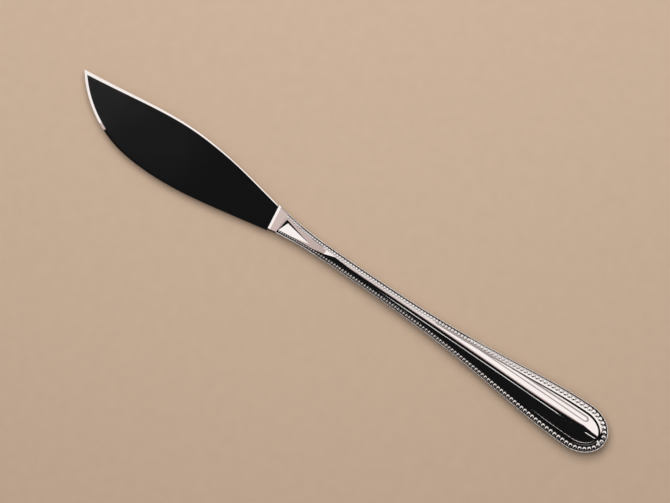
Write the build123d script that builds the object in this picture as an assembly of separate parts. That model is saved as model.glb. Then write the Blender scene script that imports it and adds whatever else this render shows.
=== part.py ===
"""Fish knife: a flat, bevelled blade set in a hollow handle with a graded bead border.

Drawn lying flat, in millimetres. X runs along the knife from the handle's butt to the blade's tip,
Y points to the cutting edge and Z points up out of the front face. Both faces are alike.
"""

import math
import os

from build123d import *

# Lengths along the knife
handle_length = 125.7
collar_length = 3.4
blade_length = 76.9

# Handle outline: a rounded end that narrows to a neck and opens again at the collar
end_width = 15.9
end_round_length = 10.2
flank_at = 34.0
flank_width = 12.4
waist_at = 60.0
waist_width = 7.35
neck_at = 102.0
neck_width = 5.0
mouth_width = 7.6
butt_steps = 4
flank_steps = 12

# Handle section, heights from the seam plane
rim_height = 1.3
rim_chamfer = 0.22
channel_floor = 1.0
dome_edge_end = 1.2
dome_edge_neck = 2.45
dome_axis = -4.0

# Flat facet on top of the handle, falling to the collar: steeper before its knee than after
facet_knee_at = 109.0
facet_knee_height = 2.15
facet_fall = 5.0
mouth_height = 1.2

# Border, measured inwards from the outline at the rounded end, the neck and the collar
lip_width = 0.45
border_end = 3.2
border_neck = 1.67
border_mouth = 1.32

# Beads
bead_end = 1.42
bead_neck = 0.94
bead_mouth = 0.68
bead_gap = 0.14
bead_lip_gap = 0.06
bead_sides = 5

# Section of a bead, as shares of its diameter
bead_shoulder = 0.78
bead_shoulder_height = 0.3
bead_height = 0.42

# Sunk triangle at the collar end of the handle, set a little to the edge side
triangle_length = 11.2
triangle_width = 4.9
triangle_offset = 0.45
triangle_spine_depth = 0.7
triangle_edge_depth = 0.12

# Sheet, seam and filling
shell_wall = 0.45
rim_wall = 0.95
hollow_length = 88.0
well_at = 19.0
well_length = 26.0
well_width = 5.0
well_height = 1.55
seam_thickness = 0.1
seam_setback = 0.12
filling_clearance = 0.05

# Collar
collar_width = 8.7
collar_height = 1.14
collar_fall = 3.6
collar_bevel_length = 0.85
collar_slant = 7.2
collar_land = 1.6

# Blade outline: spine and belly stations, from the collar or back from the tip
blade_thickness = 1.5
root_spine = 4.05
root_belly = 4.75
spine_rise_at = 22.0
spine_rise = 7.95
spine_peak_at = 35.3
spine_peak = 9.1
spine_front_at = 16.3
spine_front = 7.0
belly_rise_at = 18.8
belly_rise = 8.5
belly_peak_at = 41.3
belly_peak = 11.02
belly_turn_at = 19.5
belly_turn = 9.08
belly_front_at = 6.6
belly_front = 2.06
tip_rise = 5.0

# Blade bevels, on both faces
spine_bevel_width = 0.5
spine_bevel_depth = 0.16
tip_facet_length = 34.0
tip_facet_width = 1.25
tip_facet_depth = 0.34
edge_bevel_width = 1.15
edge_bevel_depth = 0.4

# Tang
tang_length = 60.0
tang_width = 2.4
tang_thickness = 0.9
tang_corner = 0.6
tang_clearance = 0.05
tang_lap = 1.0

collar_front = handle_length + collar_length
tip_x = collar_front + blade_length
half_end = end_width / 2
half_neck = neck_width / 2
half_mouth = mouth_width / 2
slant_lean = math.tan(math.radians(collar_slant))


def side_curve():
    """Outline of the handle's edge side in plan, from the middle of the butt to the collar."""
    butt = EllipticalCenterArc(
        (end_round_length, 0), end_round_length, half_end, start_angle=180, arc_size=-90
    )
    mouth_slope = (collar_width - mouth_width) / 2 / collar_length
    stations = [
        (end_round_length, half_end),
        (flank_at, flank_width / 2),
        (waist_at, waist_width / 2),
        (neck_at, half_neck),
        (handle_length, half_mouth),
    ]
    flank = Spline(stations, tangents=[(1, 0), (1, mouth_slope)])
    return Wire([butt, flank])


def graded(at_end, at_neck, at_mouth, point):
    """Value at a point of the outline: graded by the handle's width, then along to the collar."""
    if point.X <= end_round_length:
        return at_end
    if point.X >= neck_at:
        share = (point.X - neck_at) / (handle_length - neck_at)
        return at_neck + (at_mouth - at_neck) * share
    share = max(0.0, (point.Y - half_neck) / (half_end - half_neck))
    return at_neck + (at_end - at_neck) * min(1.0, share)


def inward(outline, share, distance):
    """Point at a share of the outline's length, moved square into the handle."""
    point = outline.position_at(share)
    run = outline.tangent_at(share)
    return Vector(point.X + run.Y * distance, point.Y - run.X * distance)


def inset_points(at_end, at_neck, at_mouth):
    """Points of the side curve, from the butt to the collar, moved inwards by a graded distance."""
    outline = side_curve()
    butt_share = outline.edges()[0].length / outline.length
    shares = [butt_share * step / butt_steps for step in range(butt_steps)]
    shares += [butt_share + (1 - butt_share) * step / flank_steps for step in range(flank_steps)]
    points = []
    for share in shares:
        distance = graded(at_end, at_neck, at_mouth, outline.position_at(share))
        points.append(inward(outline, share, distance))
    points.append(Vector(handle_length, half_mouth - at_mouth))
    return points


def plan(at_end=0.0, at_neck=None, at_mouth=None, hidden=False):
    """Face of the handle in plan, drawn in from the outline by a plain or graded distance.

    Sides are arcs, or straight runs where they lie hidden inside the handle.
    """
    at_neck = at_end if at_neck is None else at_neck
    at_mouth = at_neck if at_mouth is None else at_mouth
    points = inset_points(at_end, at_neck, at_mouth)
    sides = []
    for first in range(0, len(points) - 2, 2):
        if hidden:
            side = Line(points[first], points[first + 2])
        else:
            side = ThreePointArc(points[first], points[first + 1], points[first + 2])
        sides.extend([side, side.mirror(Plane.XZ)])
    mouth = Line(points[-1], (points[-1].X, -points[-1].Y))
    return make_face(sides + [mouth])


def slab(face, low, high):
    """A plan face raised to a slab between two heights."""
    return extrude(Pos(0, 0, low) * face, high - low)


def dome():
    """The dome, down into the shell: its crown line turned about an axis below the handle.

    The crown stands so high over each width of the foot that the dome's edge has its set height.
    """
    rims = inset_points(0, 0, 0)
    feet = inset_points(border_end, border_neck, border_mouth)
    crown = [(0, channel_floor)]
    for rim, foot in zip(rims[1:], feet[1:]):
        edge = graded(dome_edge_end, dome_edge_neck, dome_edge_neck, rim)
        crown.append((foot.X, math.hypot(edge - dome_axis, foot.Y) + dome_axis))
    profile = Polyline(crown + [(handle_length, dome_axis), (0, dome_axis)], close=True)
    barrel = revolve(Plane.XZ * make_face(profile), Axis((0, 0, dome_axis), (1, 0, 0)))
    footprint = slab(plan(border_end, border_neck, border_mouth), shell_wall, end_width)
    return (barrel & footprint) - above_facet()


def facet_height(x):
    """Height of the flat facet between its knee and the collar."""
    share = (x - facet_knee_at) / (handle_length - facet_knee_at)
    return facet_knee_height + (mouth_height - facet_knee_height) * share


def above_facet():
    """Block over the flat facet, to trim the dome with."""
    run = handle_length - facet_knee_at
    start_x = facet_knee_at - run
    start_height = facet_knee_height + run * math.tan(math.radians(facet_fall))
    side = make_face(
        Polyline(
            (start_x, start_height),
            (facet_knee_at, facet_knee_height),
            (handle_length, mouth_height),
            (handle_length, end_width),
            (start_x, end_width),
            close=True,
        )
    )
    return extrude(Plane.XZ * side, end_width, both=True)


def block_above(first, second, third):
    """Block whose underside lies in the plane through three points."""
    along = second - first
    upward = along.cross(third - first)
    if upward.Z < 0:
        upward = -upward
    underside = Plane(origin=first, x_dir=along, z_dir=upward)
    above = (Align.CENTER, Align.CENTER, Align.MIN)
    return underside * Box(2 * blade_length, blade_length, end_width, align=above)


def bead_spot(outline, along):
    """Centre, diameter and heading of a bead at a distance along the outline."""
    share = along / outline.length
    diameter = graded(bead_end, bead_neck, bead_mouth, outline.position_at(share))
    run = outline.tangent_at(share)
    centre = inward(outline, share, lip_width + bead_lip_gap + diameter / 2)
    return centre, diameter, math.atan2(run.Y, run.X)


def next_bead(outline, along):
    """Distance along the outline at which the next bead stands one gap away from this one."""
    centre, diameter, _ = bead_spot(outline, along)
    low, high = along, along + 3 * diameter
    for _ in range(24):
        middle = (low + high) / 2
        ahead, next_diameter, _ = bead_spot(outline, middle)
        if (ahead - centre).length < (diameter + next_diameter) / 2 + bead_gap:
            low = middle
        else:
            high = middle
    return high


def bead_row():
    """Beads of one side of a face, from the one on the axis at the butt out to the collar."""
    outline = side_curve()
    row = []
    along = 0.0
    while True:
        centre, diameter, heading = bead_spot(outline, along)
        if centre.X > handle_length - diameter:
            return row
        row.append((centre, diameter, heading))
        along = next_bead(outline, along)


def bead_ring(centre, radius, height, heading):
    """Corners of a regular polygon above the channel's floor."""
    corners = []
    for side in range(bead_sides):
        angle = heading + 2 * math.pi * side / bead_sides
        x = centre.X + radius * math.cos(angle)
        y = centre.Y + radius * math.sin(angle)
        corners.append((x, y, channel_floor + height))
    return corners


def bead_faces(centre, diameter, heading):
    """Foot outline of one bead, and its facets: a steep skirt below a flatter cap."""
    foot = bead_ring(centre, diameter / 2, 0, heading)
    shoulder_radius = bead_shoulder * diameter / 2
    shoulder = bead_ring(centre, shoulder_radius, bead_shoulder_height * diameter, heading)
    top = (centre.X, centre.Y, channel_floor + bead_height * diameter)
    facets = []
    for side in range(bead_sides):
        after = (side + 1) % bead_sides
        skirt = [foot[side], foot[after], shoulder[after], shoulder[side]]
        cap = [shoulder[side], shoulder[after], top]
        facets.append(Face(Wire.make_polygon(skirt)))
        facets.append(Face(Wire.make_polygon(cap)))
    return Wire.make_polygon(foot), facets


def beaded(body):
    """The handle half with its channel floor opened at each bead and the beads stitched in."""
    level = body.faces().filter_by(Axis.Z)
    floor = level.filter_by_position(Axis.Z, channel_floor, channel_floor)[0]
    skin = [face for face in body.faces() if not face.is_same(floor)]
    openings = []
    for centre, diameter, heading in bead_row():
        sides = (1, -1) if centre.Y > diameter / 2 else (1,)
        for side in sides:
            foot, facets = bead_faces(Vector(centre.X, side * centre.Y), diameter, side * heading)
            openings.append(foot)
            skin.extend(facets)
    skin.append(floor.make_holes(openings))
    return Solid(Shell(skin))


def hollow(clearance=0.0):
    """Half of the room inside the handle, or of the filling that lies in it with a clearance."""
    length = hollow_length - clearance
    roof = channel_floor - shell_wall - clearance
    under_border = slab(plan(rim_wall + clearance, hidden=True), 0, roof)
    under_border = under_border & Pos(length / 2, 0, 0) * Box(length, end_width, end_width)
    well = SlotOverall(well_length - 2 * clearance, well_width - 2 * clearance)
    return under_border + slab(Pos(well_at, 0, 0) * well, 0, well_height - clearance)


def tang_bar(clearance=0.0):
    """The tang with its trimmed end, or the room for it with a clearance all round."""
    start = collar_front - tang_length - clearance
    length = collar_front + tang_lap - start
    width = tang_width + 2 * clearance
    height = tang_thickness + 2 * clearance
    bar = Pos(start + length / 2, 0, 0) * Box(length, width, height)
    corners = bar.edges().filter_by(Axis.Z).group_by(Axis.X)[0]
    return chamfer(corners, tang_corner)


def sunk_triangle():
    """Wedge cut from the facet at the collar: deepest at the spine, running out to a point."""
    point_x = handle_length - triangle_length
    edge_y = triangle_offset + triangle_width / 2
    spine_y = triangle_offset - triangle_width / 2
    point = Vector(point_x, triangle_offset, facet_height(point_x))
    edge_corner = Vector(handle_length, edge_y, mouth_height - triangle_edge_depth)
    spine_corner = Vector(handle_length, spine_y, mouth_height - triangle_spine_depth)
    corners = [(corner.X, corner.Y) for corner in (point, edge_corner, spine_corner)]
    prism = slab(make_face(Polyline(*corners, close=True)), 0, end_width)
    return prism & block_above(point, edge_corner, spine_corner)


def handle_half():
    """One stamped half of the handle: rim, channel, beads, dome and sunk triangle."""
    body = slab(plan(), seam_thickness / 2, rim_height)
    rim = body.edges().group_by(Axis.Z)[-1].sort_by(Axis.X)[:-1]
    body = chamfer(rim, rim_chamfer)
    body -= slab(plan(lip_width), channel_floor, 2 * rim_height)
    body += dome()
    body -= hollow()
    body -= tang_bar(tang_clearance)
    body -= sunk_triangle()
    return beaded(body)


def collar():
    """Band at the mouth of the handle, bevelled to the blade on both faces, its front aslant."""
    start = handle_length - collar_length
    bevel = collar_front - collar_bevel_length
    start_height = collar_height + (bevel - start) * math.tan(math.radians(collar_fall))
    land = collar_land / 2
    profile = make_face(
        Polyline(
            (start, start_height),
            (bevel, collar_height),
            (collar_front, land),
            (collar_front, -land),
            (bevel, -collar_height),
            (start, -start_height),
            close=True,
        )
    )
    body = extrude(Plane.XZ * profile, collar_width, both=True)
    body = body.rotate(Axis((collar_front, 0, 0), (0, 0, 1)), collar_slant)
    half_front = collar_width / 2
    shape = make_face(
        Polyline(
            (handle_length, half_mouth),
            (collar_front, half_front),
            (tip_x, half_front),
            (tip_x, -half_front),
            (collar_front, -half_front),
            (handle_length, -half_mouth),
            close=True,
        )
    )
    body = body & slab(shape, -start_height, start_height)
    return body - tang_bar(tang_clearance)


def blade():
    """Flat blade with bevelled spine, front and belly, and the tang that holds it."""
    spine_root = (collar_front + root_spine * slant_lean, -root_spine)
    belly_root = (collar_front - root_belly * slant_lean, root_belly)
    spine = Spline(
        spine_root,
        (collar_front + spine_rise_at, -spine_rise),
        (collar_front + spine_peak_at, -spine_peak),
        (tip_x - spine_front_at, -spine_front),
        (tip_x, -tip_rise),
    )
    belly = Spline(
        (tip_x, -tip_rise),
        (tip_x - belly_front_at, belly_front),
        (tip_x - belly_turn_at, belly_turn),
        (collar_front + belly_peak_at, belly_peak),
        (collar_front + belly_rise_at, belly_rise),
        belly_root,
    )
    root = Line(belly_root, spine_root)
    half = blade_thickness / 2
    plate = slab(make_face([spine, belly, root]), -half, half)
    for face_number in (-1, 0):
        face = plate.faces().filter_by(Axis.Z).sort_by(Axis.Z)[face_number]
        belly_edge = face.edges().sort_by(Axis.Y)[-1]
        plate = chamfer(belly_edge, edge_bevel_width, edge_bevel_depth, reference=face)
        face = plate.faces().filter_by(Axis.Z).sort_by(Axis.Z)[face_number]
        spine_edge = face.edges().sort_by(Axis.Y)[0]
        plate = chamfer(spine_edge, spine_bevel_width, spine_bevel_depth, reference=face)
    facet = tip_facet(spine)
    plate = plate - facet - facet.mirror(Plane.XY)
    return plate + tang_bar()


def tip_facet(spine):
    """Block above the flat facet that widens along the front of the spine to the tip."""
    half = blade_thickness / 2
    start = spine.position_at(1 - tip_facet_length / spine.length)
    inner_start = Vector(start.X, start.Y + spine_bevel_width, half)
    inner_tip = Vector(tip_x, tip_facet_width - tip_rise, half)
    outer_tip = Vector(tip_x, -tip_rise, half - tip_facet_depth)
    return block_above(inner_tip, inner_start, outer_tip)


def filling():
    """Setting compound in the hollow, moulded round the end of the tang."""
    half = hollow(filling_clearance)
    return half + half.mirror(Plane.XY) - tang_bar()


def seam():
    """Solder between the two halves, set back a little from the rim."""
    body = slab(plan(seam_setback), -seam_thickness / 2, seam_thickness / 2)
    room = slab(plan(rim_wall, hidden=True), -seam_thickness, seam_thickness)
    body -= room & Pos(hollow_length / 2, 0, 0) * Box(hollow_length, end_width, end_width)
    return body - tang_bar(tang_clearance)


front = handle_half()
pieces = {
    "blade": blade(),
    "mouth_collar": collar(),
    "front_shell": front,
    "back_shell": front.mirror(Plane.XY),
    "seam_solder": seam(),
    "handle_filling": filling(),
}

# Origin at the middle of the knife's box, on the surface that it lies on
boxes = [piece.bounding_box() for piece in pieces.values()]
middle_x = (min(box.min.X for box in boxes) + max(box.max.X for box in boxes)) / 2
middle_y = (min(box.min.Y for box in boxes) + max(box.max.Y for box in boxes)) / 2
lowest = min(box.min.Z for box in boxes)
home = Pos(-middle_x, -middle_y, -lowest)

os.makedirs("parts", exist_ok=True)
for name, piece in pieces.items():
    export_step(home * piece, f"parts/{name}.step")
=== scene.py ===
"""Looks of the fish knife: mirror-polished metal lying on a pale card, seen from above."""

import math

import bmesh
import bpy
from mathutils import Matrix, Vector


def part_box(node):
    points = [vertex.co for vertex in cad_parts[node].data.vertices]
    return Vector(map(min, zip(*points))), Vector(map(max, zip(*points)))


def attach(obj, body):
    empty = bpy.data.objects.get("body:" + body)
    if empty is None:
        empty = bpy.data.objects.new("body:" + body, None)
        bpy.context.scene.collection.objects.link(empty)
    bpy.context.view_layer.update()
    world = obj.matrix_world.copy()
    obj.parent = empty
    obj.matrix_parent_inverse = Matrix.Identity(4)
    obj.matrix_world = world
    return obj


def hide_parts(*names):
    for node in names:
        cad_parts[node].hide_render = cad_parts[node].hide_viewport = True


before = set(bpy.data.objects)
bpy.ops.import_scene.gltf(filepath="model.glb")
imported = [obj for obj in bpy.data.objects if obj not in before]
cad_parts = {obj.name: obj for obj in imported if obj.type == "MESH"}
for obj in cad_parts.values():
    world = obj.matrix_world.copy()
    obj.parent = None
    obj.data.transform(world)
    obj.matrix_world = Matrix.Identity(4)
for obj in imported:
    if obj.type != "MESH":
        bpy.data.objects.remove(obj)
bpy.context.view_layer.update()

mm = 0.001

# Points closer than this count as one
same_place = 0.001 * mm

# Places taken from the solids
shell_low, shell_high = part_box("front_shell")
seam_low, seam_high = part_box("seam_solder")
butt_x = shell_low[0]
mouth_x = shell_high[0]
axis_y = (shell_low[1] + shell_high[1]) / 2
seam_z = (seam_low[2] + seam_high[2]) / 2
seam_half = (seam_high[2] - seam_low[2]) / 2
handle_length = mouth_x - butt_x

# Handle outline: a rounded end, then stations of half width and slope along the handle
end_round_length = 10.2 * mm
half_end = (shell_high[1] - shell_low[1]) / 2
neck_at = 102.0 * mm
half_neck = 2.5 * mm
half_mouth = 3.8 * mm
flank_stations = [
    (end_round_length, half_end, 0.0),
    (34.0 * mm, 6.2 * mm, -0.1121),
    (60.0 * mm, 3.675 * mm, -0.0713),
    (neck_at, half_neck, -0.0013),
    (handle_length, half_mouth, 0.1618),
]
butt_steps = 40
flank_steps = 120

# Handle section: heights above the seam plane, and steps over the dome and the lip
rim_height = 1.3 * mm
dome_edge_end = 1.2 * mm
dome_edge_neck = 2.45 * mm
dome_axis = -4.0 * mm
dome_rings = 12
lip_steps = 8

# Border, measured inwards from the outline at the rounded end, the neck and the mouth
lip_width = 0.36 * mm
lip_wall = 0.02 * mm
lip_channel = 0.2 * mm
border_end = 3.2 * mm
border_neck = 1.67 * mm
border_mouth = 1.32 * mm

# Border floor: a level channel inside the lip, then a slope that rises to its inner edge
floor_start = lip_width + lip_wall + lip_channel
floor_outer = 0.85 * mm
floor_inner_end = 1.45 * mm
floor_inner_neck = 1.75 * mm
floor_inner_mouth = 1.0 * mm

# Level groove at the dome's foot, widest round the end and running out along the flanks
groove_end = 0.65 * mm
groove_neck = -0.35 * mm
groove_least = 0.03 * mm

# Beads: diameters at the end, the neck and the mouth, the gap between them, and their shape
bead_end = 1.42 * mm
bead_neck = 0.94 * mm
bead_mouth = 0.62 * mm
bead_gap = 0.14 * mm
bead_height = 0.4
bead_fullness = 2.4
bead_segments = 10
bead_rings = 8
bead_sink = 0.001

# Search for the next bead's place: reach in diameters, and how often it is halved
bead_search_reach = 3
bead_search_steps = 24

# Cuts at the mouth: height of the cutters, how near points are welded, and most sides of a filled slit
cutter_height = 4 * rim_height
weld_gap = 0.003 * mm
slit_sides = 4

# Flat facet on top of the handle, falling to the mouth
facet_knee_at = 109.0 * mm
facet_knee_height = 2.15 * mm
facet_fall = math.radians(5.0)
facet_side_clear = 1.3 * groove_least
mouth_height = 1.2 * mm
flats_from = 104.9 * mm
flats_crease = math.radians(1.5)
flats_side_clear = 2 * groove_least

# Chamfer of the neck on the edge side of the facet: where it meets the facet's knee, and its falls
chamfer_from = 86.0 * mm
chamfer_half = half_mouth / 2
chamfer_knee_side = 0.4 * mm
chamfer_fall_across = 0.2
chamfer_fall_along = 0.02

# Sunk triangle at the mouth
triangle_length = 11.2 * mm
triangle_width = 4.9 * mm
triangle_offset = 0.45 * mm
triangle_spine_depth = 0.7 * mm
triangle_wall = 0.95 * mm
triangle_edge_gap = 0.05 * mm
triangle_spine_gap = 0.7 * mm

# Collar, with the fall of its side bevel as a share of that bevel's width
collar_half_width = 4.35 * mm
collar_back_height = 1.3 * mm
collar_height = 1.14 * mm
collar_land = 0.8 * mm
collar_bevel_length = 0.85 * mm
collar_side_bevel = 0.45 * mm
collar_side_fall = 0.7
collar_lean = math.tan(math.radians(7.2))

# Blade outline: stations along from the collar, across from the handle's axis, with headings in degrees
blade_low, blade_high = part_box("blade")
blade_length = 76.9 * mm
root_x = blade_high[0] - blade_length
blade_half = (blade_high[2] - blade_low[2]) / 2
tip_rise = -5.0 * mm
root_spine = -4.05 * mm
root_belly = 4.75 * mm
spine_stations = [
    (-root_spine * collar_lean, root_spine, -10.8),
    (22.0 * mm, -7.95 * mm, -7.6),
    (35.3 * mm, -9.1 * mm, -1.7),
    (60.6 * mm, -7.0 * mm, 7.7),
    (blade_length, tip_rise, 5.9),
]
belly_stations = [
    (blade_length, tip_rise, 125.0),
    (70.3 * mm, 2.06 * mm, 140.7),
    (57.4 * mm, 9.08 * mm, 162.6),
    (41.3 * mm, 11.02 * mm, 180.2),
    (18.8 * mm, 8.5 * mm, 190.6),
    (-root_belly * collar_lean, root_belly, 190.8),
]

# Spacing of the blade's outline points, and how near to the tip none is set
blade_step = 1.1 * mm
tip_clear = 2.4 * mm

# Bevels of the blade as width and depth
spine_bevel = (0.34 * mm, 0.12 * mm)
tip_bevel = (1.05 * mm, 0.31 * mm)
belly_bevel = (0.85 * mm, 0.296 * mm)
tip_bevel_length = 56.0 * mm

# Tang, hidden in the handle
tang_length = root_x - blade_low[0]
tang_width = 2.4 * mm
tang_thickness = 0.9 * mm
tang_trim = tang_width / 4

# Angles in degrees over which an edge stays sharp in the shading
handle_crease = 28
bead_crease = 50
blade_crease = 8
collar_crease = 8

# Camera: how far it leans to the spine side, and how the picture is turned round the upright
camera_lean = math.radians(6.5)
picture_turn = math.radians(214.164)
camera_distance = 1.0
camera_lens = 167.0
camera_sensor = 36.0
camera_aim = Vector((3.486 * mm, axis_y - 2.026 * mm, seam_z))

# Directions in the picture, lying flat on the card
picture_up = Vector((-math.sin(picture_turn), math.cos(picture_turn), 0.0))
picture_right = Vector((picture_up.y, -picture_up.x, 0.0))

# Card, the light on it, and the backdrop behind it
card_size = 6.0
fill_colour = (1.0, 0.97, 0.94)
fill_strength = 0.34
backdrop_colour = (0.62, 0.49, 0.38)
key_offset = 0.26
key_height = 0.52
key_place = picture_up * key_offset + Vector((0, 0, key_height))
key_size = 0.45
key_power = 3.1

# Polished metals: pale and deep tone of their clouds, roughness of their ground and of their hairlines
handle_polish = (0.95, 0.92, 0.03, 0.06)
blade_polish = (0.94, 0.91, 0.025, 0.05)
collar_polish = (0.95, 0.92, 0.03, 0.07)

# How near another surface has to be for a recess to get painted shade (ambient occlusion darkening the
# metal's colour)
painted_shade_reach = 0.42 * mm

# Textures: scale, stretch along the knife and detail
polish_clouds = (90, 2, 3)
polish_hairlines = (2600, 30, 4)
solder_clouds = (900, 3, 4)
pitch_grain = (1500, 1, 5)
card_mottle = (260, 1, 6)
card_fibres = (1800, 1, 3)

# Reliefs: strength and height
polish_relief = (0.04, 0.002 * mm)
card_relief = (0.15, 0.1 * mm)

# Tones and roughness of the plain materials
solder_tones = (0.32, 0.5)
solder_roughness = (0.5, 0.3)
pitch_tones = ((0.03, 0.02, 0.015), (0.09, 0.06, 0.04))
pitch_roughness = 0.7
card_tones = ((0.53, 0.394, 0.29), (0.55, 0.41, 0.302))
card_roughness = 0.9
card_gloss = 0.1

# Levels of a texture at which its first and second colour are reached
cloud_levels = (0.3, 0.7)
hairline_levels = (0.35, 0.75)

# Tones of the room in the metal, from dark to pale, at levels between minus and plus the span
wall_span = 0.1
wall_tones = [
    (0.006, (0.007, 0.007, 0.007)),
    (0.012, (0.63, 0.49, 0.46)),
    (0.055, (0.63, 0.49, 0.46)),
    (0.062, (1.0, 0.925, 0.895)),
]

# Bends of the dark part of the room to the picture's left and right: start and strength
left_bend = (0.09, 0.7)
right_bend = (0.0, -0.55)
far_right_bends = ((0.2, 0.95), (0.34, 0.75))

# Strip lamps of the room: middle and half length along the knife, middle and half width to the spine
room_lamps = [
    (-0.0412, 0.0128, -0.19, 0.025),
    (-0.66, 0.21, -0.2, 0.03),
]
lamp_colour = (1.0, 0.96, 0.93)

# Thin hoop in the pale part of the room: place across and up the picture, radius and half width
room_hoop = (0.5, 0.54, 0.15, 0.04)
hoop_colour = (0.4, 0.34, 0.32)

# Faint cloudy glow in the dark part of the room: place across and up the picture, and radius
room_glow = (-0.135, -0.038, 0.045)
glow_colour = (0.036, 0.036, 0.038)
glow_grain = 75
glow_floor = 0.25


def deselect_all():
    """Goes back to object mode with nothing selected."""
    if bpy.context.object and bpy.context.object.mode != "OBJECT":
        bpy.ops.object.mode_set(mode="OBJECT")
    bpy.ops.object.select_all(action="DESELECT")


def make_active(piece):
    """Selects one piece alone and makes it the active one."""
    deselect_all()
    piece.select_set(True)
    bpy.context.view_layer.objects.active = piece


def apply_modifier(piece, modifier):
    """Applies one modifier to its piece."""
    make_active(piece)
    bpy.ops.object.modifier_apply(modifier=modifier.name)


def dress(piece, material):
    """Gives a piece its material and its body."""
    piece.data.materials.clear()
    piece.data.materials.append(material)
    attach(piece, "root")


def curve_weights(t):
    """Weights of start, leaving slope, end and arriving slope at a share of a smooth curve."""
    return 2 * t**3 - 3 * t**2 + 1, t**3 - 2 * t**2 + t, 3 * t**2 - 2 * t**3, t**3 - t**2


# Outline of the handle


def flank_half_width(x):
    """Half width of the handle at a distance from the butt, on a smooth line through the stations."""
    for before, after in zip(flank_stations, flank_stations[1:]):
        if x <= after[0]:
            break
    run = after[0] - before[0]
    at_start, leaving, at_end, arriving = curve_weights((x - before[0]) / run)
    start = before[1] * at_start + run * before[2] * leaving
    end = after[1] * at_end + run * after[2] * arriving
    return start + end


def side_outline():
    """Points of the edge side of the handle, from the middle of the butt to the mouth."""
    points = []
    for step in range(butt_steps):
        angle = math.pi / 2 * step / butt_steps
        x = end_round_length * (1 - math.cos(angle))
        points.append(Vector((x, half_end * math.sin(angle))))
    for step in range(flank_steps + 1):
        x = end_round_length + (handle_length - end_round_length) * step / flank_steps
        points.append(Vector((x, flank_half_width(x))))
    return points


def inward_normals(points):
    """Unit normals into the handle along the side outline."""
    normals = []
    for index, point in enumerate(points):
        before = points[max(0, index - 1)]
        after = points[min(len(points) - 1, index + 1)]
        run = (after - before).normalized()
        if index == 0:
            run = Vector((0, 1))
        normals.append(Vector((run.y, -run.x)))
    return normals


def graded(at_end, at_neck, at_mouth, point):
    """Value at a point of the outline: graded by the handle's width, then along to the mouth."""
    if point.x <= end_round_length:
        return at_end
    if point.x >= neck_at:
        share = (point.x - neck_at) / (handle_length - neck_at)
        return at_neck + (at_mouth - at_neck) * share
    share = max(0.0, (point.y - half_neck) / (half_end - half_neck))
    return at_neck + (at_end - at_neck) * min(1.0, share)


def line_inside(distance):
    """Side outline drawn inwards by a distance that depends on the point, ending square at the mouth."""
    points = side_outline()
    line = []
    for point, normal in zip(points, inward_normals(points)):
        moved = point + normal * distance(point)
        line.append(Vector((min(moved.x, handle_length), moved.y)))
    line[0].y = 0.0
    line[-1] = Vector((handle_length, half_mouth - distance(points[-1])))
    return line


def border_width(point):
    """Width of the whole border at a point of the outline."""
    return graded(border_end, border_neck, border_mouth, point)


def bead_band(point):
    """Width of the border without the level groove at the dome's foot."""
    groove = graded(groove_end, groove_neck, groove_neck, point)
    return border_width(point) - max(groove_least, groove)


def ring(line, heights):
    """Both sides of a line as one ring of points in place, with a height at each of its points."""
    one_side = []
    for point, height in zip(line, heights):
        one_side.append((butt_x + point.x, point.y, seam_z + height))
    spine_side = [Vector((x, axis_y - y, z)) for x, y, z in reversed(one_side)]
    edge_side = [Vector((x, axis_y + y, z)) for x, y, z in one_side[1:]]
    return spine_side + edge_side


def level_ring(inset, height):
    """Ring at one height, drawn in from the outline by one plain distance."""
    line = line_inside(lambda point: inset)
    return ring(line, [height] * len(line))


def graded_heights(at_end, at_neck, at_mouth):
    """Heights at the points of the side outline, graded like the border."""
    return [graded(at_end, at_neck, at_mouth, point) for point in side_outline()]


def dome_height(edge, foot_half, y):
    """Height of the dome at a distance from the axis, over a foot of this half width and height."""
    radius = math.hypot(edge - dome_axis, foot_half)
    return math.sqrt(radius**2 - y**2) + dome_axis


def handle_rings():
    """Rings of the handle half, from the seam up over the lip, across the border and over the dome."""
    rings = [level_ring(0.0, seam_half)]
    for step in range(lip_steps + 1):
        angle = math.pi * step / lip_steps
        inset = lip_width / 2 * (1 - math.cos(angle))
        rings.append(level_ring(inset, rim_height - lip_width / 2 * (1 - math.sin(angle))))
    rings.append(level_ring(lip_width + lip_wall, floor_outer))
    rings.append(level_ring(floor_start, floor_outer))
    inner_heights = graded_heights(floor_inner_end, floor_inner_neck, floor_inner_mouth)
    edges = graded_heights(dome_edge_end, dome_edge_neck, dome_edge_neck)
    band_line = line_inside(bead_band)
    rings.append(ring(band_line, inner_heights))
    rings.append(ring(band_line, edges))
    foot = line_inside(border_width)
    for step in range(dome_rings + 1):
        share = math.cos(math.pi / 2 * step / dome_rings)
        line = [Vector((point.x, point.y * share)) for point in foot]
        heights = [dome_height(edge, point.y, point.y * share) for edge, point in zip(edges, foot)]
        rings.append(ring(line, heights))
    return rings


# Bodies made of rings


def lay_ring(piece, points):
    """Moves the selected ring of a piece in edit mode to its points, station by station."""
    mesh = bmesh.from_edit_mesh(piece.data)
    station = mesh.verts.layers.int["station"]
    for vertex in mesh.verts:
        if vertex.select:
            vertex.co = points[vertex[station]]
    bmesh.update_edit_mesh(piece.data)


def number_stations(piece):
    """Numbers the points of a fresh ring, so that each ring extruded from it knows its stations."""
    mesh = bmesh.from_edit_mesh(piece.data)
    station = mesh.verts.layers.int.new("station")
    mesh.verts.ensure_lookup_table()
    for index, vertex in enumerate(mesh.verts):
        vertex[station] = index
    bmesh.update_edit_mesh(piece.data)


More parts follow.
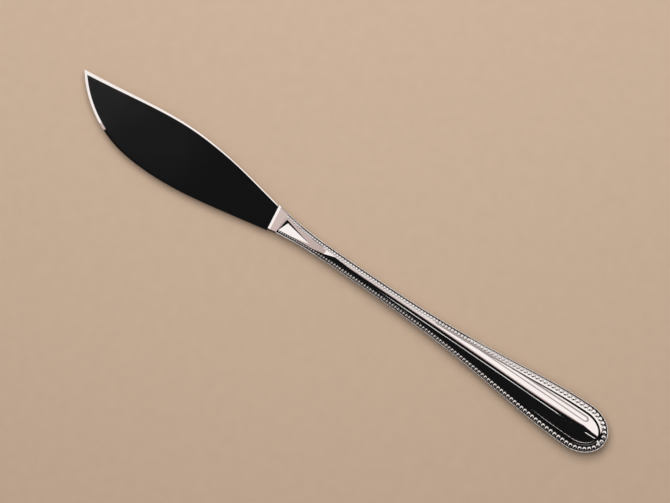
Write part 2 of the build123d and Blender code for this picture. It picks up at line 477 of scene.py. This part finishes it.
def ring_body(name, rings):
    """A body made from a filled circle laid along the first ring and extruded ring by ring."""
    deselect_all()
    bpy.ops.mesh.primitive_circle_add(vertices=len(rings[0]), radius=half_end, fill_type="NGON")
    piece = bpy.context.object
    piece.name = name
    bpy.ops.object.mode_set(mode="EDIT")
    bpy.ops.mesh.select_all(action="SELECT")
    number_stations(piece)
    lay_ring(piece, rings[0])
    for points in rings[1:]:
        bpy.ops.mesh.extrude_edges_move()
        lay_ring(piece, points)
    bpy.ops.mesh.select_all(action="SELECT")
    bpy.ops.mesh.remove_doubles(threshold=same_place)
    return piece


def square_off(piece, end_x, lean=0.0):
    """Replaces the folded faces on a straight end of a ring body in edit mode by one flat face."""
    mesh = bmesh.from_edit_mesh(piece.data)
    for face in mesh.faces:
        off = [abs(vertex.co.x + (vertex.co.y - axis_y) * lean - end_x) for vertex in face.verts]
        face.select_set(max(off) < same_place)
    mesh.select_flush_mode()
    bmesh.update_edit_mesh(piece.data)
    bpy.ops.mesh.delete(type="FACE")
    bpy.ops.mesh.select_non_manifold(extend=False)
    bpy.ops.mesh.edge_face_add()


def cap_open_ring(piece):
    """Fills the open last ring of a ring body in edit mode."""
    mesh = bmesh.from_edit_mesh(piece.data)
    for edge in mesh.edges:
        edge.select_set(edge.is_boundary)
    bmesh.update_edit_mesh(piece.data)
    bpy.ops.mesh.edge_face_add()


def close_up(piece):
    """Turns all faces of a piece in edit mode outwards and leaves edit mode."""
    bpy.ops.mesh.select_all(action="SELECT")
    bpy.ops.mesh.normals_make_consistent(inside=False)
    bpy.ops.object.mode_set(mode="OBJECT")
    return piece


def closed_body(name, rings):
    """A ring body with its last ring filled and its faces turned outwards."""
    piece = ring_body(name, rings)
    cap_open_ring(piece)
    return close_up(piece)


# Cuts and halves of the handle


def facet_height(x):
    """Height of the flat facet between its knee and the mouth, at a distance from the butt."""
    share = (x - facet_knee_at) / (handle_length - facet_knee_at)
    return facet_knee_height + (mouth_height - facet_knee_height) * share


def facet_cutter():
    """Block over the flat facet, a little wider than the dome's foot at the mouth."""
    run = handle_length - facet_knee_at
    start = facet_knee_at - run
    stop = handle_length + rim_height
    profile = [
        (start, facet_knee_height + run * math.tan(facet_fall)),
        (facet_knee_at, facet_knee_height),
        (stop, facet_height(stop)),
        (stop, cutter_height),
        (start, cutter_height),
    ]
    half = half_mouth - border_mouth + facet_side_clear
    rings = []
    for y in (-half, half):
        rings.append([Vector((butt_x + x, axis_y + y, seam_z + z)) for x, z in profile])
    return closed_body("facet_cutter", rings)


def chamfer_cutter():
    """Block over the chamfer of the neck, which falls to the edge side and slightly to the mouth."""
    rings = []
    for x in (chamfer_from, handle_length + rim_height):
        knee = facet_knee_height - (x - facet_knee_at) * chamfer_fall_along
        profile = [
            (-chamfer_half, knee + (chamfer_half + chamfer_knee_side) * chamfer_fall_across),
            (chamfer_half, knee - (chamfer_half - chamfer_knee_side) * chamfer_fall_across),
            (chamfer_half, cutter_height),
            (-chamfer_half, cutter_height),
        ]
        rings.append([Vector((butt_x + x, axis_y + y, seam_z + z)) for y, z in profile])
    return closed_body("chamfer_cutter", rings)


def triangle_cutter():
    """Three-sided cutter: its floor falls from edge side to spine, and its walls lean outwards."""
    half = triangle_width / 2
    point_x = handle_length - triangle_length
    edge_x = handle_length - triangle_edge_gap
    spine_x = handle_length - triangle_spine_gap
    point = Vector((point_x, triangle_offset, facet_height(point_x)))
    edge_top = Vector((edge_x, triangle_offset + half, facet_height(edge_x)))
    spine_top = Vector((spine_x, triangle_offset - half, facet_height(spine_x)))
    spine_low = spine_top + Vector((-triangle_wall, triangle_wall, -triangle_spine_depth))
    origin = Vector((butt_x, axis_y, seam_z))
    low = [origin + corner for corner in (point, edge_top, spine_low)]
    top = [origin + corner for corner in (point, edge_top, spine_top)]
    high = [corner + Vector((0, 0, cutter_height)) for corner in top]
    return closed_body("triangle_cutter", [low, top, high])


def cut_away(piece, cutter):
    """Cuts a cutter out of a piece and drops the cutter."""
    cut = piece.modifiers.new(cutter.name, "BOOLEAN")
    cut.operation = "DIFFERENCE"
    cut.solver = "EXACT"
    cut.use_self = True
    cut.object = cutter
    apply_modifier(piece, cut)
    bpy.data.objects.remove(cutter)


def weld(piece):
    """Welds the doubled points and fills the hairline slits that cuts leave."""
    make_active(piece)
    bpy.ops.object.mode_set(mode="EDIT")
    bpy.ops.mesh.select_all(action="SELECT")
    bpy.ops.mesh.remove_doubles(threshold=weld_gap)
    bpy.ops.mesh.dissolve_degenerate(threshold=weld_gap)
    bpy.ops.mesh.select_all(action="SELECT")
    bpy.ops.mesh.fill_holes(sides=slit_sides)
    bpy.ops.object.mode_set(mode="OBJECT")


def smooth(piece, degrees):
    """Shades a piece smooth except across edges sharper than an angle."""
    make_active(piece)
    bpy.ops.object.shade_smooth_by_angle(angle=math.radians(degrees))


def crisp_flats(piece):
    """Keeps the edges between the flats at the mouth crisp in the shading."""
    make_active(piece)
    bpy.ops.object.mode_set(mode="EDIT")
    mesh = bmesh.from_edit_mesh(piece.data)
    half = half_mouth - border_mouth + flats_side_clear
    for edge in mesh.edges:
        near_mouth = min(vertex.co.x for vertex in edge.verts) > butt_x + flats_from
        near_axis = max(abs(vertex.co.y - axis_y) for vertex in edge.verts) < half
        if near_mouth and near_axis and edge.calc_face_angle(0.0) > flats_crease:
            edge.smooth = False
    bmesh.update_edit_mesh(piece.data)
    bpy.ops.object.mode_set(mode="OBJECT")


def front_handle():
    """Front half of the handle, with the facet, the chamfer and the sunk triangle cut at its mouth."""
    piece = ring_body("front_handle", handle_rings())
    square_off(piece, mouth_x)
    close_up(piece)
    for new_cutter in (facet_cutter, chamfer_cutter, triangle_cutter):
        cut_away(piece, new_cutter())
    weld(piece)
    smooth(piece, handle_crease)
    crisp_flats(piece)
    return piece


def other_side(piece, name):
    """Copy of a piece turned over through the seam plane."""
    make_active(piece)
    bpy.ops.object.duplicate()
    copy = bpy.context.object
    copy.name = name
    bpy.ops.object.mode_set(mode="EDIT")
    bpy.ops.mesh.select_all(action="SELECT")
    bpy.ops.transform.resize(value=(1, 1, -1), center_override=(0, 0, seam_z))
    bpy.ops.mesh.normals_make_consistent(inside=False)
    bpy.ops.object.mode_set(mode="OBJECT")
    return copy


# Beads


def outline_lengths(points):
    """Length along the side outline at each of its points."""
    lengths = [0.0]
    for before, after in zip(points, points[1:]):
        lengths.append(lengths[-1] + (after - before).length)
    return lengths


def bead_spot(points, lengths, along):
    """Centre, diameter, foot height and upright of a bead at a distance along the side outline."""
    index = 1
    while index < len(points) - 1 and lengths[index] < along:
        index += 1
    share = (along - lengths[index - 1]) / (lengths[index] - lengths[index - 1])
    point = points[index - 1].lerp(points[index], share)
    normals = inward_normals(points)
    normal = normals[index - 1].lerp(normals[index], share).normalized()
    diameter = graded(bead_end, bead_neck, bead_mouth, point)
    inset = floor_start + diameter / 2
    rise = graded(floor_inner_end, floor_inner_neck, floor_inner_mouth, point) - floor_outer
    slope = rise / (bead_band(point) - floor_start)
    upright = Vector((-normal.x * slope, -normal.y * slope, 1.0)).normalized()
    centre = point + normal * inset
    return centre, diameter, floor_outer + slope * diameter / 2, upright


def bead_row():
    """Spots of the beads of one side, from the butt to the mouth."""
    points = side_outline()
    lengths = outline_lengths(points)
    row = []
    along = 0.0
    while along < lengths[-1]:
        centre, diameter, height, upright = bead_spot(points, lengths, along)
        if centre.x > handle_length - diameter:
            break
        row.append((centre, diameter, height, upright))
        low = along
        high = along + bead_search_reach * diameter
        for _ in range(bead_search_steps):
            middle = (low + high) / 2
            ahead, next_diameter, _, _ = bead_spot(points, lengths, min(middle, lengths[-1]))
            if (ahead - centre).length < (diameter + next_diameter) / 2 + bead_gap:
                low = middle
            else:
                high = middle
        along = high
    return row


def one_bead():
    """A bead of unit diameter: the upper half of a ball with full sides and a low cap, closed below."""
    deselect_all()
    bpy.ops.mesh.primitive_uv_sphere_add(segments=bead_segments, ring_count=bead_rings, radius=0.5)
    bead = bpy.context.object
    bpy.ops.object.mode_set(mode="EDIT")
    bpy.ops.mesh.select_all(action="SELECT")
    floor = (0, 0, -bead_sink)
    bpy.ops.mesh.bisect(plane_co=floor, plane_no=(0, 0, 1), clear_inner=True, use_fill=True)
    mesh = bmesh.from_edit_mesh(bead.data)
    for vertex in mesh.verts:
        to_top = max(0.0, 1 - 2 * vertex.co.z)
        vertex.co.z = 0.5 - 0.5 * to_top**bead_fullness
    bmesh.update_edit_mesh(bead.data)
    bpy.ops.object.mode_set(mode="OBJECT")
    return bead


def bead_border(name):
    """Row of graded beads round the front of the handle, joined into one piece."""
    pattern = one_bead()
    copies = []
    for centre, diameter, height, upright in bead_row():
        sides = (1, -1) if centre.y > diameter / 2 else (1,)
        for side in sides:
            bead = pattern.copy()
            bead.data = pattern.data.copy()
            place = Matrix.Translation((butt_x + centre.x, axis_y + side * centre.y, seam_z + height))
            leaning = Vector((upright.x, side * upright.y, upright.z)).to_track_quat("Z", "Y")
            size = Matrix.Diagonal((diameter, diameter, 2 * bead_height * diameter, 1))
            bead.data.transform(place @ leaning.to_matrix().to_4x4() @ size)
            bpy.context.collection.objects.link(bead)
            copies.append(bead)
    bpy.data.objects.remove(pattern)
    make_active(copies[0])
    for bead in copies:
        bead.select_set(True)
    bpy.ops.object.join()
    border = bpy.context.object
    border.name = name
    smooth(border, bead_crease)
    return border


# Blade


def heading(degrees):
    """Unit vector at an angle from the knife's length."""
    angle = math.radians(degrees)
    return Vector((math.cos(angle), math.sin(angle)))


def curve_points(stations):
    """Points along a smooth line through stations, each with its heading."""
    points = []
    for before, after in zip(stations, stations[1:]):
        start = Vector(before[:2])
        end = Vector(after[:2])
        chord = (end - start).length
        leave = heading(before[2]) * chord
        arrive = heading(after[2]) * chord
        steps = max(2, round(chord / blade_step))
        for step in range(steps):
            at_start, leaving, at_end, arriving = curve_weights(step / steps)
            point = start * at_start + end * at_end
            point += leave * leaving + arrive * arriving
            points.append(point)
    points.append(Vector(stations[-1][:2]))
    return points


def bevel_at(point, on_spine):
    """Width and depth of the bevel at a point of the blade's outline."""
    if not on_spine:
        return belly_bevel
    share = max(0.0, 1 - (blade_length - point.x) / tip_bevel_length)
    width = spine_bevel[0] + (tip_bevel[0] - spine_bevel[0]) * share
    depth = spine_bevel[1] + (tip_bevel[1] - spine_bevel[1]) * share
    return width, depth


def tip_mitre():
    """Inner corner of the bevels at the tip, where the spine's and the belly's insets cross."""
    runs = (heading(spine_stations[-1][2]), heading(belly_stations[0][2]))
    across = Matrix([Vector((-run.y, run.x)) for run in runs])
    return across.inverted() @ Vector((tip_bevel[0], belly_bevel[0]))


def blade_outline():
    """Outline of the blade as (point, inset point, bevel depth), round from root to root."""
    tip = Vector((blade_length, tip_rise))
    spine = [p for p in curve_points(spine_stations) if (p - tip).length > tip_clear]
    belly = [p for p in curve_points(belly_stations) if (p - tip).length > tip_clear]
    outline = []
    for points, on_spine in ((spine, True), (belly, False)):
        if not on_spine:
            outline.append((tip, tip + tip_mitre(), tip_bevel[1]))
        for index, point in enumerate(points):
            before = points[max(index - 1, 0)]
            after = points[min(index + 1, len(points) - 1)]
            run = (after - before).normalized()
            width, depth = bevel_at(point, on_spine)
            inset = point + Vector((-run.y, run.x)) * width
            outline.append((point, Vector((max(-inset.y * collar_lean, inset.x), inset.y)), depth))
    for end in (0, -1):
        point, inset, depth = outline[end]
        outline[end] = (point, Vector((-inset.y * collar_lean, inset.y)), depth)
    return outline


def blade_plate():
    """Flat blade with bevels along its outline on both faces."""
    rings = [[], [], [], []]
    for point, inset, depth in blade_outline():
        levels = [
            (inset, -blade_half),
            (point, depth - blade_half),
            (point, blade_half - depth),
            (inset, blade_half),
        ]
        for points, (place, height) in zip(rings, levels):
            points.append(Vector((root_x + place.x, axis_y + place.y, seam_z + height)))
    plate = ring_body("blade_plate", rings)
    square_off(plate, root_x, collar_lean)
    cap_open_ring(plate)
    close_up(plate)
    smooth(plate, blade_crease)
    return plate


def tang_bar():
    """Flat tang from the blade's root back into the handle, with its end corners trimmed."""
    deselect_all()
    middle = (root_x - tang_length / 2, axis_y, seam_z)
    size = (tang_length, tang_width, tang_thickness)
    bpy.ops.mesh.primitive_cube_add(size=1, location=middle, scale=size)
    tang = bpy.context.object
    bpy.ops.object.transform_apply(location=True, rotation=True, scale=True)
    bpy.ops.object.mode_set(mode="EDIT")
    mesh = bmesh.from_edit_mesh(tang.data)
    for edge in mesh.edges:
        upright = abs(edge.verts[0].co.z - edge.verts[1].co.z) > tang_thickness / 2
        edge.select_set(upright and edge.verts[0].co.x < root_x - tang_length / 2)
    bmesh.update_edit_mesh(tang.data)
    bpy.ops.mesh.bevel(offset=tang_trim, segments=1)
    return close_up(tang)


def blade_with_tang():
    """The blade's plate and its tang as one piece."""
    plate = blade_plate()
    tang = tang_bar()
    make_active(plate)
    tang.select_set(True)
    bpy.ops.object.join()
    return plate


# Collar


def collar_section(x, half, height, lean):
    """Section of the collar with bevelled corners, leaning back on the edge side."""
    bevel = collar_side_bevel
    low = height - bevel * collar_side_fall
    corners = [
        (-half, -low),
        (-half, low),
        (bevel - half, height),
        (half - bevel, height),
        (half, low),
        (half, -low),
        (half - bevel, -height),
        (bevel - half, -height),
    ]
    return [Vector((x - y * lean, axis_y + y, seam_z + z)) for y, z in corners]


def collar_band():
    """Band between the handle and the blade, bevelled to the blade, with its front aslant."""
    bevel_x = root_x - collar_bevel_length
    share = (bevel_x - mouth_x) / (root_x - mouth_x)
    bevel_half = half_mouth + (collar_half_width - half_mouth) * share
    sections = [
        collar_section(mouth_x, half_mouth, collar_back_height, 0.0),
        collar_section(bevel_x, bevel_half, collar_height, collar_lean),
        collar_section(root_x, collar_half_width, collar_land, collar_lean),
    ]
    band = closed_body("collar_band", sections)
    smooth(band, collar_crease)
    return band


# Materials


def new_material(name):
    """Empty node material with its shader and object coordinates."""
    material = bpy.data.materials.new(name)
    material.use_nodes = True
    nodes = material.node_tree.nodes
    nodes.clear()
    output = nodes.new("ShaderNodeOutputMaterial")
    shader = nodes.new("ShaderNodeBsdfPrincipled")
    place = nodes.new("ShaderNodeTexCoord")
    material.node_tree.links.new(shader.outputs["BSDF"], output.inputs["Surface"])
    return material, shader, place


def stretched_noise(tree, place, scale, stretch, detail):
    """Noise on object coordinates, drawn out along the knife."""
    mapping = tree.nodes.new("ShaderNodeMapping")
    mapping.inputs["Scale"].default_value = (1 / stretch, 1, 1)
    noise = tree.nodes.new("ShaderNodeTexNoise")
    noise.inputs["Scale"].default_value = scale
    noise.inputs["Detail"].default_value = detail
    tree.links.new(place.outputs["Object"], mapping.inputs["Vector"])
    tree.links.new(mapping.outputs["Vector"], noise.inputs["Vector"])
    return noise


def ramp(tree, source, stops):
    """Colour of a ramp over a factor, with its stops as (position, colour)."""
    node = tree.nodes.new("ShaderNodeValToRGB")
    tree.links.new(source, node.inputs["Fac"])
    elements = node.color_ramp.elements
    while len(elements) < len(stops):
        elements.new(0.5)
    for element, (position, colour) in zip(elements, stops):
        element.position = position
        element.color = (*colour, 1)
    return node.outputs["Color"]


def shades(tree, texture, levels, colours):
    """Colours of a texture, from one at its first level to another at its second."""
    return ramp(tree, texture.outputs["Fac"], list(zip(levels, colours)))


def emboss(tree, texture, shader, strength, height):
    """Gives a shader the relief of a texture."""
    relief = tree.nodes.new("ShaderNodeBump")
    relief.inputs["Strength"].default_value = strength
    relief.inputs["Distance"].default_value = height
    tree.links.new(texture.outputs["Fac"], relief.inputs["Height"])
    tree.links.new(relief.outputs["Normal"], shader.inputs["Normal"])


def grey(value):
    """A neutral colour."""
    return (value, value, value)


def polished_metal(name, pale, deep, gloss, haze):
    """Mirror-polished metal: cloudy tone, painted shade darkening it in recesses, hairline marks in its
    gloss and relief.
    """
    material, shader, place = new_material(name)
    tree = material.node_tree
    # Painted shade: ambient occlusion darkens the base colour where other surfaces are near, as between
    # the beads
    painted_recess_shade = tree.nodes.new("ShaderNodeAmbientOcclusion")
    painted_recess_shade.inputs["Distance"].default_value = painted_shade_reach
    clouds = stretched_noise(tree, place, *polish_clouds)
    tone = shades(tree, clouds, cloud_levels, (grey(deep), grey(pale)))
    tree.links.new(tone, painted_recess_shade.inputs["Color"])
    tree.links.new(painted_recess_shade.outputs["Color"], shader.inputs["Base Color"])
    hairlines = stretched_noise(tree, place, *polish_hairlines)
    shine = shades(tree, hairlines, hairline_levels, (grey(gloss), grey(haze)))
    tree.links.new(shine, shader.inputs["Roughness"])
    emboss(tree, hairlines, shader, *polish_relief)
    shader.inputs["Metallic"].default_value = 1.0
    return material


def dull_solder():
    """Wiped tin solder: grey, cloudy and slightly rough."""
    material, shader, place = new_material("dull_solder")
    tree = material.node_tree
    clouds = stretched_noise(tree, place, *solder_clouds)
    tone = shades(tree, clouds, cloud_levels, [grey(value) for value in solder_tones])
    tree.links.new(tone, shader.inputs["Base Color"])
    shine = shades(tree, clouds, cloud_levels, [grey(value) for value in solder_roughness])
    tree.links.new(shine, shader.inputs["Roughness"])
    shader.inputs["Metallic"].default_value = 1.0
    return material


def setting_pitch():
    """Dark cast pitch with a grainy tone."""
    material, shader, place = new_material("setting_pitch")
    tree = material.node_tree
    grain = stretched_noise(tree, place, *pitch_grain)
    tree.links.new(shades(tree, grain, cloud_levels, pitch_tones), shader.inputs["Base Color"])
    shader.inputs["Roughness"].default_value = pitch_roughness
    return material


def pale_card():
    """Matte beige card with a faint mottle and fibres."""
    material, shader, place = new_material("pale_card")
    tree = material.node_tree
    mottle = stretched_noise(tree, place, *card_mottle)
    tree.links.new(shades(tree, mottle, cloud_levels, card_tones), shader.inputs["Base Color"])
    fibres = stretched_noise(tree, place, *card_fibres)
    emboss(tree, fibres, shader, *card_relief)
    shader.inputs["Roughness"].default_value = card_roughness
    shader.inputs["Specular IOR Level"].default_value = card_gloss
    return material


# Stage


def card_floor():
    """The card that the knife lies on."""
    deselect_all()
    bpy.ops.mesh.primitive_plane_add(size=card_size, location=(0, 0, 0))
    floor = bpy.context.object
    floor.name = "card"
    floor.data.materials.append(pale_card())


def dot_with(tree, vector, direction):
    """Part of a vector along a fixed direction."""
    node = tree.nodes.new("ShaderNodeVectorMath")
    node.operation = "DOT_PRODUCT"
    node.inputs[1].default_value = direction
    tree.links.new(vector, node.inputs[0])
    return node.outputs["Value"]


def math_node(tree, operation, first, second=None):
    """One sum on a value, with a second value or number where it needs one."""
    node = tree.nodes.new("ShaderNodeMath")
    node.operation = operation
    tree.links.new(first, node.inputs[0])
    if isinstance(second, float):
        node.inputs[1].default_value = second
    elif second is not None:
        tree.links.new(second, node.inputs[1])
    return node.outputs["Value"]


def over(tree, value, start):
    """How far a value lies over a start, and nothing below it."""
    return math_node(tree, "MAXIMUM", math_node(tree, "SUBTRACT", value, start), 0.0)


def within(tree, value, middle, half):
    """One where a value lies near a middle, and nothing elsewhere."""
    off = math_node(tree, "ABSOLUTE", math_node(tree, "SUBTRACT", value, middle))
    return math_node(tree, "LESS_THAN", off, half)


def lit_strip(tree, way, strip):
    """One inside a strip lamp of the room."""
    along_middle, along_half, side_middle, side_half = strip
    lengthwise = within(tree, dot_with(tree, way, (1, 0, 0)), along_middle, along_half)
    crosswise = within(tree, dot_with(tree, way, (0, -1, 0)), side_middle, side_half)
    return math_node(tree, "MULTIPLY", lengthwise, crosswise)


def distance_to(tree, rightward, upward, across, up):
    """Distance of a direction from a place across and up the picture."""
    off_across = math_node(tree, "SUBTRACT", rightward, across)
    off_up = math_node(tree, "SUBTRACT", upward, up)
    squares = math_node(tree, "MULTIPLY", off_across, off_across)
    squares = math_node(tree, "ADD", squares, math_node(tree, "MULTIPLY", off_up, off_up))
    return math_node(tree, "SQRT", squares)


def on_hoop(tree, rightward, upward):
    """One on the thin hoop of the room."""
    across, up, radius, half = room_hoop
    return within(tree, distance_to(tree, rightward, upward, across, up), radius, half)


def cloudy_glow(tree, way, rightward, upward):
    """Share of the faint glow: fading out from its middle, and uneven."""
    across, up, radius = room_glow
    off = distance_to(tree, rightward, upward, across, up)
    near = over(tree, math_node(tree, "MULTIPLY", off, -1 / radius), -1.0)
    clouds = tree.nodes.new("ShaderNodeTexNoise")
    clouds.inputs["Scale"].default_value = glow_grain
    tree.links.new(way, clouds.inputs["Vector"])
    return math_node(tree, "MULTIPLY", near, over(tree, clouds.outputs["Fac"], glow_floor))


def room_walls(tree):
    """Colours of the room that the metal mirrors: dark overhead and on the picture's lower side."""
    way = tree.nodes.new("ShaderNodeTexCoord").outputs["Generated"]
    upward = dot_with(tree, way, picture_up)
    rightward = dot_with(tree, way, picture_right)
    leftward = dot_with(tree, way, -picture_right)
    side = upward
    bends = [(leftward, left_bend), (rightward, right_bend)]
    bends += [(rightward, bend) for bend in far_right_bends]
    for value, (start, strength) in bends:
        bend = math_node(tree, "MULTIPLY", over(tree, value, start), strength)
        side = math_node(tree, "ADD", side, bend)
    span = tree.nodes.new("ShaderNodeMapRange")
    span.inputs["From Min"].default_value = -wall_span
    span.inputs["From Max"].default_value = wall_span
    tree.links.new(side, span.inputs["Value"])
    stops = [((level + wall_span) / (2 * wall_span), tone) for level, tone in wall_tones]
    colour = ramp(tree, span.outputs["Result"], stops)
    marks = [(lit_strip(tree, way, strip), lamp_colour) for strip in room_lamps]
    marks.append((on_hoop(tree, rightward, upward), hoop_colour))
    marks.append((cloudy_glow(tree, way, rightward, upward), glow_colour))
    for mark, mark_colour in marks:
        marked = tree.nodes.new("ShaderNodeMix")
        marked.data_type = "RGBA"
        marked.inputs["B"].default_value = (*mark_colour, 1)
        tree.links.new(mark, marked.inputs["Factor"])
        tree.links.new(colour, marked.inputs["A"])
        colour = marked.outputs["Result"]
    return colour


def even_light(tree, colour, strength=1.0):
    """Light of one even colour."""
    node = tree.nodes.new("ShaderNodeBackground")
    node.inputs["Color"].default_value = (*colour, 1)
    node.inputs["Strength"].default_value = strength
    return node.outputs["Background"]


def for_rays(tree, kind, others, chosen):
    """Shows one light to one kind of ray, and another to all others."""
    node = tree.nodes.new("ShaderNodeMixShader")
    tree.links.new(kind, node.inputs["Fac"])
    tree.links.new(others, node.inputs[1])
    tree.links.new(chosen, node.inputs[2])
    return node.outputs["Shader"]


def room_light():
    """Even room light, with the room's walls in the metal and a plain backdrop for the camera."""
    world = bpy.data.worlds.new("room")
    bpy.context.scene.world = world
    world.use_nodes = True
    tree = world.node_tree
    tree.nodes.clear()
    output = tree.nodes.new("ShaderNodeOutputWorld")
    ray = tree.nodes.new("ShaderNodeLightPath")
    fill = even_light(tree, fill_colour, fill_strength)
    backdrop = even_light(tree, backdrop_colour)
    mirrored = tree.nodes.new("ShaderNodeBackground")
    tree.links.new(room_walls(tree), mirrored.inputs["Color"])
    light = for_rays(tree, ray.outputs["Is Glossy Ray"], fill, mirrored.outputs["Background"])
    light = for_rays(tree, ray.outputs["Is Camera Ray"], light, backdrop)
    tree.links.new(light, output.inputs["Surface"])


def soft_lamp(name, place, size, power):
    """Square soft lamp aimed at the knife. Mirrors show the room in its place."""
    deselect_all()
    bpy.ops.object.light_add(type="AREA", location=place)
    lamp = bpy.context.object
    lamp.name = name
    lamp.data.size = size
    lamp.data.energy = power
    lamp.visible_glossy = False
    lamp.rotation_euler = (camera_aim - place).to_track_quat("-Z", "Y").to_euler()


def photo_camera():
    """Camera over the knife, leaning a little to the spine side, turned as the picture is."""
    outward = Vector((0.0, -math.sin(camera_lean), math.cos(camera_lean)))
    upward = (picture_up - outward * picture_up.dot(outward)).normalized()
    rightward = upward.cross(outward)
    bpy.ops.object.camera_add()
    camera = bpy.context.object
    turned = Matrix((rightward, upward, outward)).transposed().to_4x4()
    camera.matrix_world = Matrix.Translation(camera_aim + outward * camera_distance) @ turned
    camera.data.lens = camera_lens
    camera.data.sensor_width = camera_sensor
    bpy.context.scene.camera = camera


handle_silver = polished_metal("handle_silver", *handle_polish)
blade_mirror = polished_metal("blade_mirror", *blade_polish)
collar_silver = polished_metal("collar_silver", *collar_polish)

front = front_handle()
dress(front, handle_silver)
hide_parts("front_shell")
front_beads = bead_border("front_beads")
dress(front_beads, handle_silver)
back = other_side(front, "back_handle")
dress(back, handle_silver)
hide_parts("back_shell")
back_beads = other_side(front_beads, "back_beads")
dress(back_beads, handle_silver)

plate = blade_with_tang()
dress(plate, blade_mirror)
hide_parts("blade")

band = collar_band()
dress(band, collar_silver)
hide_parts("mouth_collar")

for node, material in (("seam_solder", dull_solder()), ("handle_filling", setting_pitch())):
    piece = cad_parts[node]
    piece.data.materials.clear()
    piece.data.materials.append(material)

card_floor()
room_light()
soft_lamp("key_lamp", key_place, key_size, key_power)
photo_camera()
bpy.context.scene.view_settings.view_transform = "Standard"
